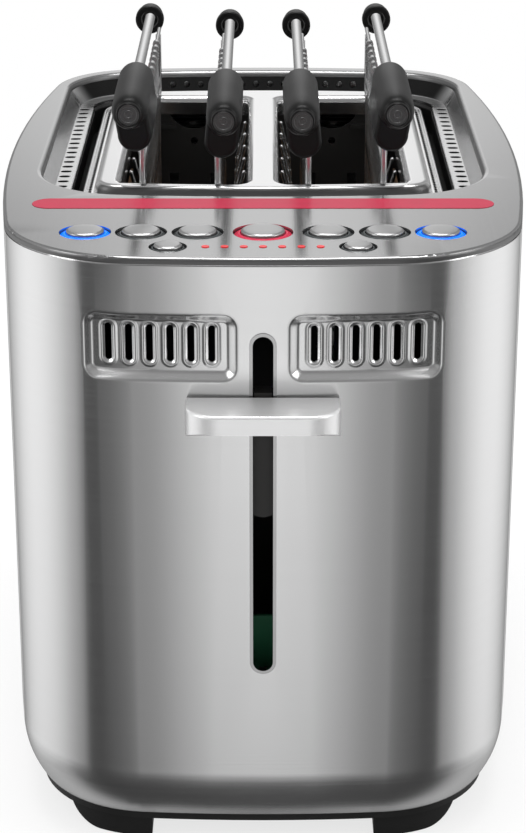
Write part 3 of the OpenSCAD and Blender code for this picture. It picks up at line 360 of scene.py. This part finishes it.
def pieceFrom(shape, name, finishNames, rideOn):
    mesh = bpy.data.meshes.new(name)
    shape.to_mesh(mesh)
    shape.free()
    for finishName in finishNames:
        mesh.materials.append(finishes[finishName])
    piece = bpy.data.objects.new(name, mesh)
    bpy.context.scene.collection.objects.link(piece)
    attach(piece, rideOn)
    return piece


# Pressed vent borders and slot lips, laid on the bowed front

body = {"frontY": -0.14175, "endBow": 0.57, "cornerR": 0.052, "corner": (0.041458, -0.088088), "joint": 0.04562}


def frontY(x, inset):  # the front face at x, a little inside the sheet
    if abs(x) < body["joint"]:
        return body["frontY"] + body["endBow"] - math.sqrt((body["endBow"] - inset) ** 2 - x * x)
    reach = abs(x) - body["corner"][0]
    return body["corner"][1] - math.sqrt((body["cornerR"] - inset) ** 2 - reach * reach)


def roundedLoop(x, z, halfX, halfZ, radius, runs, steps=10):  # points round a rounded rectangle
    points = []
    flatX, flatZ = halfX - radius, halfZ - radius
    sides = (((1, 1), (-1, 0), flatX), ((-1, 1), (0, -1), flatZ), ((-1, -1), (1, 0), flatX), ((1, -1), (0, 1), flatZ))
    for turn, ((sx, sz), (dx, dz), flat) in enumerate(sides):
        for step in range(steps + 1):
            a = math.radians(90 * (turn + step / steps))
            points.append((x + sx * flatX + radius * math.cos(a), z + sz * flatZ + radius * math.sin(a)))
        lastX, lastZ = points[-1]
        run = runs[turn % 2]
        points += [(lastX + dx * 2 * flat * k / run, lastZ + dz * 2 * flat * k / run) for k in range(1, run)]
    return points


def pressedRing(shape, outline, profile, runs):  # profile: how far outside the outline, how deep
    x, z, halfX, halfZ, radius = outline
    rows = []
    for out, deep in profile:
        loop = roundedLoop(x, z, halfX + out, halfZ + out, radius + out, runs)
        rows.append([shape.verts.new((px, frontY(px, deep), pz)) for px, pz in loop])
    for outer, inner in zip(rows, rows[1:]):
        joinLoops(shape, outer, inner)


vent = {"x": 0.0358, "z": 0.1994, "half": (0.0268, 0.0123), "corner": 0.005, "borderRuns": (24, 8),
        "border": [(0.0007, -0.00001), (0.0003, 0.00001), (0.0, 0.00006), (-0.0004, 0.0002), (-0.0008, 0.0005),
                   (-0.0012, 0.00085), (-0.0016, 0.0012), (-0.002, 0.00154), (-0.0024, 0.00186),
                   (-0.0028, 0.00214), (-0.0032, 0.00231), (-0.0036, 0.00238)],
        "slots": 6, "pitch": 0.0072, "slotZ": 0.2003, "slotHalf": (0.0012, 0.0067), "slotCorner": 0.00119,
        "lipRuns": (1, 6),
        "lip": [(0.0022, 0.00239), (0.0019, 0.00234), (0.0016, 0.00222), (0.0013, 0.00214), (0.001, 0.00218),
                (0.0007, 0.00235), (0.0004, 0.0026), (0.0002, 0.00276), (0.0, 0.00288)]}


def ventPressing(name, side):
    shape = bmesh.new()
    middle = side * vent["x"]
    pressedRing(shape, (middle, vent["z"], *vent["half"], vent["corner"]), vent["border"], vent["borderRuns"])
    for k in range(vent["slots"]):
        x = middle + (k - (vent["slots"] - 1) / 2) * vent["pitch"]
        pressedRing(shape, (x, vent["slotZ"], *vent["slotHalf"], vent["slotCorner"]), vent["lip"], vent["lipRuns"])
    bmesh.ops.recalc_face_normals(shape, faces=shape.faces)
    for face in shape.faces:
        face.smooth = True
        if face.normal.y > 0:
            face.normal_flip()
    pieceFrom(shape, name, ["body_steel"], "body")


ventPressing("leftVentPressing", -1)
ventPressing("rightVentPressing", 1)
print("vent pressings laid")


# Turned shapes: rings of points round an upright or a front-to-back axis

turning = {"count": 56, "sharp": 35}


def turned(shape, centre, profile, upright, finish=0):  # profile: radius, place along the axis
    def spot(p, q, along):
        return shape.verts.new((p, q, along) if upright else (p, along, q))

    count = turning["count"]
    rows = []
    for radius, along in profile:
        if radius == 0:
            rows.append([spot(*centre, along)])
            continue
        turns = [2 * math.pi * k / count for k in range(count)]
        rows.append([spot(centre[0] + radius * math.cos(a), centre[1] + radius * math.sin(a), along) for a in turns])
    for first, second in zip(rows, rows[1:]):
        for k in range(count):
            corners = [first[k - 1], first[k]] if len(first) > 1 else [first[0]]
            corners += [second[k], second[k - 1]] if len(second) > 1 else [second[0]]
            face = shape.faces.new(corners)
            face.smooth = True
            face.material_index = finish


def markSharp(shape):
    bmesh.ops.recalc_face_normals(shape, faces=shape.faces)
    for edge in shape.edges:
        if len(edge.link_faces) == 2 and edge.calc_face_angle(0) > math.radians(turning["sharp"]):
            edge.smooth = False


def shifted(profile, start):
    return [(radius, start + along) for radius, along in profile]


# Buttons: a raised brushed cap in a sloping see-through ring

button = {"row": -0.10965, "smallRow": -0.12745, "panel": 0.232, "hole": 0.00925, "midHole": 0.01075,
          "smallHole": 0.0067, "share": 0.72, "rise": 0.0012, "deep": 0.007, "crown": (0.00002, 0.00006),
          "bevelWide": 0.00085,
          "bevel": [(8, 0.1), (16, 0.1), (23, 0.15), (29, 0.2), (35, 0.2), (41, 0.15),  # tilt and length in mm
                    (50, 0.1), (62, 0.1), (75, 0.1), (85, 0.1)],
          "at": {"key_outer_left": -0.0629, "key_left": -0.0431, "key_inner_left": -0.0231, "key_middle": 0.0,
                 "key_inner_right": 0.0231, "key_right": 0.0431, "key_outer_right": 0.0629,
                 "key_small_left": -0.033, "key_small_right": 0.033}}

sleeve = {"gap": 0.0004, "fit": 0.00008, "wall": (-0.0045, -0.0016),
          "slope": [(0.14, -0.0015), (0.2, -0.001), (0.36, -0.0008), (0.4, -0.001),  # share of the way in, height
                    (0.46, -0.00065), (0.62, -0.0004), (0.66, -0.0006), (0.72, -0.0003), (0.95, -0.0001),
                    (1, -0.0002), (1, -0.0045)],
          "rings": {"blue_rings": ("key_outer_left", "key_outer_right"), "red_ring": ("key_middle",),
                    "grey_rings": ("key_left", "key_inner_left", "key_inner_right", "key_right",
                                   "key_small_left", "key_small_right")},
          "finish": {"blue_rings": "blue_lens", "red_ring": "rose_ring", "grey_rings": "grey_lens"},
          "slot": {"blue_rings": "blue_lens", "red_ring": "rose_bar", "grey_rings": "grey_lens"}}


def buttonSpot(name):  # centre, hole radius and cap radius
    small = "small" in name
    hole = button["smallHole"] if small else button["midHole"] if name == "key_middle" else button["hole"]
    return (button["at"][name], button["smallRow"] if small else button["row"]), hole, hole * button["share"]


def buttonCap(name):
    centre, hole, cap = buttonSpot(name)
    top = button["panel"] + button["rise"]
    foot = top - button["deep"]
    radius, height = cap - button["bevelWide"], top - button["crown"][1]
    shape = bmesh.new()
    profile = [(0, top), (radius * 0.5, top - button["crown"][0]), (radius, height)]
    for tilt, length in button["bevel"]:
        radius += length * math.cos(math.radians(tilt)) / 1000
        height -= length * math.sin(math.radians(tilt)) / 1000
        profile.append((radius, height))
    turned(shape, centre, profile + [(radius, foot), (0, foot)], True)
    markSharp(shape)
    piece = pieceFrom(shape, "cap_" + name, ["key_steel"], name)
    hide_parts(name)


def buttonRings(node):
    shape = bmesh.new()
    for name in sleeve["rings"][node]:
        centre, hole, cap = buttonSpot(name)
        step = hole - cap - sleeve["gap"]
        profile = [(hole - sleeve["fit"], height) for height in sleeve["wall"]]
        profile += [(hole - step * share, height) for share, height in sleeve["slope"]]
        turned(shape, centre, shifted(profile, button["panel"]), True)
    markSharp(shape)
    piece = pieceFrom(shape, "sleeves_" + node, [sleeve["finish"][node]], "body")
    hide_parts(node)


for name in button["at"]:
    buttonCap(name)
for node in sleeve["rings"]:
    buttonRings(node)
print("buttons set in their rings")


# Cage grips: a barrel with a ringed nose, a tongue under it, and the rear cap

grip = {"front": -0.05275, "rear": 0.00625, "capFront": 0.11925,
        "halves": {"right_outer": (0.0498, 0.2612, 0.0456), "right_inner": (0.0146, 0.2586, 0.0172),
                   "left_outer": (-0.0498, 0.2612, -0.0456), "left_inner": (-0.0146, 0.2586, -0.0172)},
        "face": [(0, -0.0029), (0.001, -0.0029), (0.0012, -0.0032), (0.0015, -0.0032), (0.0017, -0.0029),
                 (0.0029, -0.0029), (0.0031, -0.0032), (0.0037, -0.0032), (0.0038, -0.003)],
        "barrel": [(0.0038, -0.003), (0.0039, -0.0037), (0.0041, -0.0039), (0.0044, -0.0039), (0.0046, -0.0036),
                   (0.0047, -0.0026), (0.0053, -0.0022), (0.0058, -0.0014), (0.00625, -0.0002), (0.0065, 0.0015),
                   (0.0067, 0.004), (0.0068, 0.012), (0.0069, 0.03)],
        "barrelEnd": [(0.0069, -0.004), (0.0067, -0.0022), (0.0064, -0.0019), (0.0062, -0.0012), (0.0055, -0.0003),
                      (0.0045, 0), (0.0023, 0), (0.0023, -0.003)],
        "cap": [(0.0023, 0.0035), (0.0034, 0.003), (0.0038, 0.0002), (0.0042, 0), (0.0057, 0), (0.0062, 0.0005),
                (0.0062, 0.0034), (0.0054, 0.0038), (0.0054, 0.0044), (0.0055, 0.0048), (0.0055, 0.0098),
                (0.005, 0.0118), (0.0036, 0.0127), (0.0018, 0.013), (0, 0.013)],
        "tongueFront": -0.0492, "tongueDrop": 0.0097, "tongueLean": 0.4, "tongueSteps": 40,
        "tongue": [(0.0046, 0), (0.0052, 0.0001), (0.0058, 0.0005), (0.0062, 0.0011), (0.0064, 0.002)],
        "tongueEnd": [(0.0064, -0.0015), (0.0058, -0.0004)]}


def tongue(shape, x, z, lean):  # stadium loops from the front back
    steps = grip["tongueSteps"]
    rows = []
    for radius, along in shifted(grip["tongue"], grip["tongueFront"]) + shifted(grip["tongueEnd"], grip["rear"]):
        loop = []
        for k in range(steps + 1):  # round the lower end
            a = math.pi * (1 + k / steps)
            loop.append((x + lean + radius * math.cos(a), z - grip["tongueDrop"] + radius * math.sin(a)))
        for k in range(steps + 1):  # and round the upper end
            a = math.pi * k / steps
            loop.append((x + radius * math.cos(a), z + radius * math.sin(a)))
        rows.append([shape.verts.new((px, along, pz)) for px, pz in loop])
    for first, second in zip(rows, rows[1:]):
        for face in joinLoops(shape, first, second):
            face.smooth = True
    shape.faces.new(rows[0])
    shape.faces.new(rows[-1])


def gripPiece(half):
    x, z, gridX = grip["halves"][half]
    shape = bmesh.new()
    turned(shape, (x, z), shifted(grip["face"], grip["front"]), False, 1)
    turned(shape, (x, z), shifted(grip["barrel"], grip["front"]) + shifted(grip["barrelEnd"], grip["rear"]), False)
    tongue(shape, x, z, (gridX - x) * grip["tongueLean"])
    turned(shape, (x, z), shifted(grip["cap"], grip["capFront"]), False)
    markSharp(shape)
    piece = pieceFrom(shape, "grips_" + half, ["grip_black", "grip_ring"], half + "_half")
    piece.visible_glossy = False  # the panel shows the thin rods
    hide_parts(half + "_grips")


for half in grip["halves"]:
    gripPiece(half)
print("grips made")


# Pressed ledge along each side of the tub, with its row of slots

ledge = {"half": 0.085, "top": 0.2286, "wall": 0.0004, "level": 0.22325, "foot": 0.00375, "edge": 0.00955,
         "from": -0.021, "pitch": 0.0075, "count": 18, "slotAt": 0.0062, "slotHalf": (0.0021, 0.0014),
         "slotPower": 2.6, "slotSteps": 40, "lipWide": 0.0003, "lipDown": 0.00006, "slotDeep": 0.00022,
         "slotDraft": 0.0001, "foldUp": [(-0.0006, 0.0007), (-0.0003, 0.0002), (0, 0)],
         "foldDown": [(0, 0), (0.0004, -0.0001), (0.0007, -0.0004), (0.0008, -0.001), (0.0008, -0.004)],
         "taper": 0.004, "taperLevel": 0.22302, "taperWall": 0.00005, "merge": 0.000002}


def ledgeStrip(name, side):
    shape = bmesh.new()
    level, foot, edge, pitch = ledge["level"], ledge["foot"], ledge["edge"], ledge["pitch"]
    first, last = ledge["from"], ledge["from"] + ledge["count"] * pitch

    def spot(u, y, z):  # u runs in from the tub's wall
        return shape.verts.new((side * (ledge["half"] - u), y, z))

    def strip(points):
        for (u0, z0), (u1, z1) in zip(points, points[1:]):
            shape.faces.new((spot(u0, first, z0), spot(u1, first, z1), spot(u1, last, z1), spot(u0, last, z0)))

    def slot(y):  # one slot in its stretch of the ledge
        before, after, beside = ledge["slotAt"] - foot, edge - ledge["slotAt"], pitch / 2
        even = {2 * math.pi * n / ledge["slotSteps"] for n in range(ledge["slotSteps"])}
        corners = {math.atan2(v, u) % (2 * math.pi) for u in (-before, after) for v in (-beside, beside)}
        loops = [[], [], [], []]
        for a in sorted(even | corners):
            c, s = math.cos(a), math.sin(a)
            reach = min((after / c if c > 0 else -before / c) if abs(c) > 1e-6 else 9,
                        beside / abs(s) if abs(s) > 1e-6 else 9)
            power = ledge["slotPower"]
            halfU, halfY = ledge["slotHalf"]
            oval = 1 / ((abs(c) / halfU) ** power + (abs(s) / halfY) ** power) ** (1 / power)
            sizes = ((reach, 0), (oval + ledge["lipWide"], 0), (oval, ledge["lipDown"]),
                     (oval - ledge["slotDraft"], ledge["slotDeep"]))
            for loop, (size, down) in zip(loops, sizes):
                loop.append(spot(ledge["slotAt"] + size * c, y + size * s, level - down))
        # painted shade: the slot's inner wall and floor take the near-black slot finish, standing for the open slot
        for outer, inner, finish in zip(loops, loops[1:], (0, 0, 1)):
            joinLoops(shape, outer, inner, finish)
        shape.faces.new(loops[-1]).material_index = 1

    for k in range(ledge["count"]):
        slot(first + (k + 0.5) * pitch)
    strip([(ledge["wall"], ledge["top"])] + [(foot + u, level + z) for u, z in ledge["foldUp"]])
    strip([(edge + u, level + z) for u, z in ledge["foldDown"]])
    low = ledge["taperLevel"]
    for y, end in ((first, first - ledge["taper"]), (last, last + ledge["taper"])):  # tapers into the tub
        shape.faces.new((spot(foot, y, level), spot(edge, y, level), spot(edge, end, low), spot(foot, end, low)))
        shape.faces.new((spot(ledge["wall"], y, ledge["top"]), spot(foot, y, level), spot(foot, end, low),
                         spot(ledge["taperWall"], end, ledge["top"])))
    bmesh.ops.remove_doubles(shape, verts=shape.verts, dist=ledge["merge"])
    for face in shape.faces:
        if face.normal.z < 0 or (abs(face.normal.z) < 0.01 and face.normal.x * side > 0):
            face.normal_flip()
    pieceFrom(shape, name, ["tub_steel", "slot_dark"], "body")


ledgeStrip("leftLedge", -1)
ledgeStrip("rightLedge", 1)
print("tub ledges pressed")


# Perforated flange of the inner liner, low beside the slot plate

flange = {"plateHalf": 0.0645, "corner": 0.009, "cornerSteps": 12, "front": -0.036, "rear": 0.10725,
          "toMiddle": 0.012, "pitch": 0.0036,
          "profile": [(0.0006, 0.2236), (0.001, 0.2241), (0.0034, 0.2234), (0.0037, 0.2226), (0.0039, 0.2226),
                      (0.0041, 0.2232), (0.0045, 0.2236), (0.0049, 0.2236), (0.0053, 0.2232), (0.0055, 0.2226),
                      (0.0055, 0.217)],
          "dotAt": 0.0027, "dotZ": 0.22372, "dot": (0.00065, 0.0012), "dotLean": 0.00018, "dotSteps": 16}


def flangePath(side):  # points and outward directions along the plate's side and rear corner
    x, r = flange["plateHalf"], flange["corner"]
    path = [((side * x, flange["front"]), (side, 0)), ((side * x, flange["rear"]), (side, 0))]
    for k in range(1, flange["cornerSteps"] + 1):
        a = math.radians(90 * k / flange["cornerSteps"])
        path.append(((side * (x - r + r * math.cos(a)), flange["rear"] + r * math.sin(a)),
                     (side * math.cos(a), math.sin(a))))
    path.append(((side * flange["toMiddle"], flange["rear"] + r), (0, 1)))
    return path


def linerFlange(name, side):
    shape = bmesh.new()
    rows = []
    for (x, y), (nx, ny) in flangePath(side):
        rows.append([shape.verts.new((x + nx * u, y + ny * u, z)) for u, z in flange["profile"]])
    for first, second in zip(rows, rows[1:]):
        for k in range(1, len(first)):
            shape.faces.new((first[k - 1], first[k], second[k], second[k - 1])).smooth = True
    x = side * (flange["plateHalf"] + flange["dotAt"])
    turns = [2 * math.pi * n / flange["dotSteps"] for n in range(flange["dotSteps"])]
    # painted shade: the holes are dark discs laid on the flange, standing for the shade seen through them
    for k in range(int((flange["rear"] - flange["front"]) / flange["pitch"])):  # dark holes along the side
        y = flange["front"] + (k + 0.5) * flange["pitch"]
        ring = [shape.verts.new((x + flange["dot"][0] * math.cos(a), y + flange["dot"][1] * math.sin(a),
                                 flange["dotZ"] - side * math.cos(a) * flange["dotLean"])) for a in turns]
        shape.faces.new(ring).material_index = 1
    for face in shape.faces:
        face.normal_update()
        if face.normal.z < 0:
            face.normal_flip()
    pieceFrom(shape, name, ["liner_steel", "slot_dark"], "body")


linerFlange("leftFlange", -1)
linerFlange("rightFlange", 1)
print("liner flanges laid")


# Carriage spring: a still copy of the CAD spring, with its place baked in

coil = {"name": "coiledSpring", "node": "carriage_spring"}


def coiledSpring():
    piece = bpy.data.objects.new(coil["name"], nodes[coil["node"]].data.copy())
    bpy.context.scene.collection.objects.link(piece)
    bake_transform(piece)
    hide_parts(coil["node"])


coiledSpring()


# Camera from the photo's perspective

view = {"place": (0, -0.9123, 0.4694), "down": 20.942, "lens": 102.08, "sensor": 36}
lensData = bpy.data.cameras.new("photoCamera")
lensData.sensor_fit = "AUTO"
lensData.sensor_width = view["sensor"]
lensData.lens = view["lens"]
camera = bpy.data.objects.new("photoCamera", lensData)
camera.location = view["place"]
camera.rotation_euler = (math.radians(90 - view["down"]), 0, 0)
bpy.context.scene.collection.objects.link(camera)
bpy.context.scene.camera = camera
bpy.context.scene.view_settings.view_transform = "Standard"


# Studio: white surround, soft lamps and floor

studio = {"fill": 0.7, "zenith": 0.35, "zenithFrom": (0.6, 0.85), "horizon": (-0.04, 0.04),
          # brightness of the surround below the horizon, by degrees away from the front
          "low": [(0, 1.0), (2.6, 0.97), (6.5, 0.81), (10.5, 0.71), (13.7, 0.61), (16.2, 0.5), (18.5, 0.38),
                  (22, 0.28), (28, 0.215), (38, 0.14), (48, 0.07), (55, 0.08), (61, 0.38), (70, 0.54),
                  (78, 0.71), (87, 0.86), (95, 0.96), (104, 1.0), (115, 1.0), (127, 0.88), (135, 0.76),
                  (143, 0.6), (151, 0.44), (160, 0.28), (180, 0.2)],
          "nearFrom": (0.33, 0.5), "nearDark": 0.2,
          # and above it
          "high": [(0, 0.22), (30, 0.25), (60, 0.5), (110, 0.55), (150, 0.4), (166, 0.32), (171, 0.6),
                   (174.5, 0.95), (180, 1.0)],
          # the same a little higher, where the top panel looks
          "over": [(0, 0.22), (30, 0.25), (60, 0.5), (110, 0.55), (150, 0.4), (168, 0.3), (172, 0.4),
                   (174, 0.52), (176, 0.74), (178, 0.95), (180, 1.0)],
          "overFrom": (0.25, 0.285),
          # and steeply down
          "steep": [(0, 0.05), (68, 0.042), (80, 0.09), (92, 0.3), (120, 0.45), (180, 0.3)],
          "steepFrom": (0.465, 0.64)}


def surround():
    f = Finish("studioSurround", world=True)
    bpy.context.scene.world = f.material
    x, y, z = f.axes("Generated")
    turn = x.size().math("ARCTAN2", y * -1.0) / math.pi

    def around(stops):
        return f.make("ShaderNodeValToRGB", {"stops": [(d / 180, grey(v)) for d, v in stops]}, {"Fac": turn})

    near = f.mix(f.fade(z * -1.0, *studio["nearFrom"]) * studio["nearDark"], around(studio["low"]), grey(0.0))
    low = f.mix(f.fade(z * -1.0, *studio["steepFrom"]), near, around(studio["steep"]))
    high = f.mix(f.fade(z, *studio["overFrom"]), around(studio["high"]), around(studio["over"]))
    high = f.mix(f.fade(z, *studio["zenithFrom"]), high, grey(studio["zenith"]))
    room = f.mix(f.fade(z, *studio["horizon"]), low, high)
    shiny = f.ray("Glossy").most(f.ray("Transmission"))
    colour = f.mix(shiny, grey(studio["fill"]), room)
    colour = f.mix(f.ray("Camera"), colour, grey(1.0))
    f.close(f.make("ShaderNodeBackground", None, {"Color": colour, "Strength": 1.0}))


surround()

lamps = {  # place, target, size, power
    "topSoftbox": ((0, 0.1, 1.5), (0, 0, 0.1), (0.8, 0.6), 11),
    "leftSoftbox": ((-1.3, -0.5, 0.9), (0, 0, 0.12), (0.6, 1.0), 5),
    "rightSoftbox": ((1.3, -0.5, 0.9), (0, 0, 0.12), (0.6, 1.0), 5),
    "frontSoftbox": ((0, -1.6, 0.4), (0, 0, 0.12), (1.0, 0.8), 5)}


def lamp(name, place, target, size, power):
    light = bpy.data.lights.new(name, "AREA")
    light.shape = "RECTANGLE"
    light.size, light.size_y = size
    light.energy = power
    holder = bpy.data.objects.new(name, light)
    holder.location = place
    holder.rotation_euler = (Vector(target) - Vector(place)).to_track_quat("-Z", "Y").to_euler()
    holder.visible_glossy = name != "frontSoftbox"  # the front shows the surround instead
    bpy.context.scene.collection.objects.link(holder)


for name, settings in lamps.items():
    lamp(name, *settings)

ground = {"half": 4, "z": -0.0005, "speck": 6.0, "tones": (0.96, 0.98), "white": 0.74, "away": (0.3, 0.75)}


def floorFinish():
    f = Finish("paleFloor")
    tone = f.mix(f.noise(ground["speck"]), *map(grey, ground["tones"]))
    diffuse = f.make("ShaderNodeBsdfDiffuse", None, {"Color": tone})
    white = f.make("ShaderNodeEmission", None, {"Color": grey(1.0), "Strength": 1.0})
    x, y, z = f.axes()
    away = f.fade((x * x + y * y).math("SQRT", 0.0), *ground["away"])  # pure white away from the shadow
    share = f.ray("Camera") * (away * (1 - ground["white"]) + ground["white"])
    return f.close(f.make("ShaderNodeMixShader", None, {0: share, 1: diffuse, 2: white}))


def paleFloor():
    half = ground["half"]
    shape = bmesh.new()
    corners = ((-half, -half), (half, -half), (half, half), (-half, half))
    shape.faces.new([shape.verts.new((x, y, ground["z"])) for x, y in corners])
    mesh = bpy.data.meshes.new("paleFloor")
    shape.to_mesh(mesh)
    shape.free()
    mesh.materials.append(floorFinish())
    sheet = bpy.data.objects.new("paleFloor", mesh)
    bpy.context.scene.collection.objects.link(sheet)
    sheet.visible_glossy = False  # steel shows the surround below the horizon


paleFloor()
print("studio set")
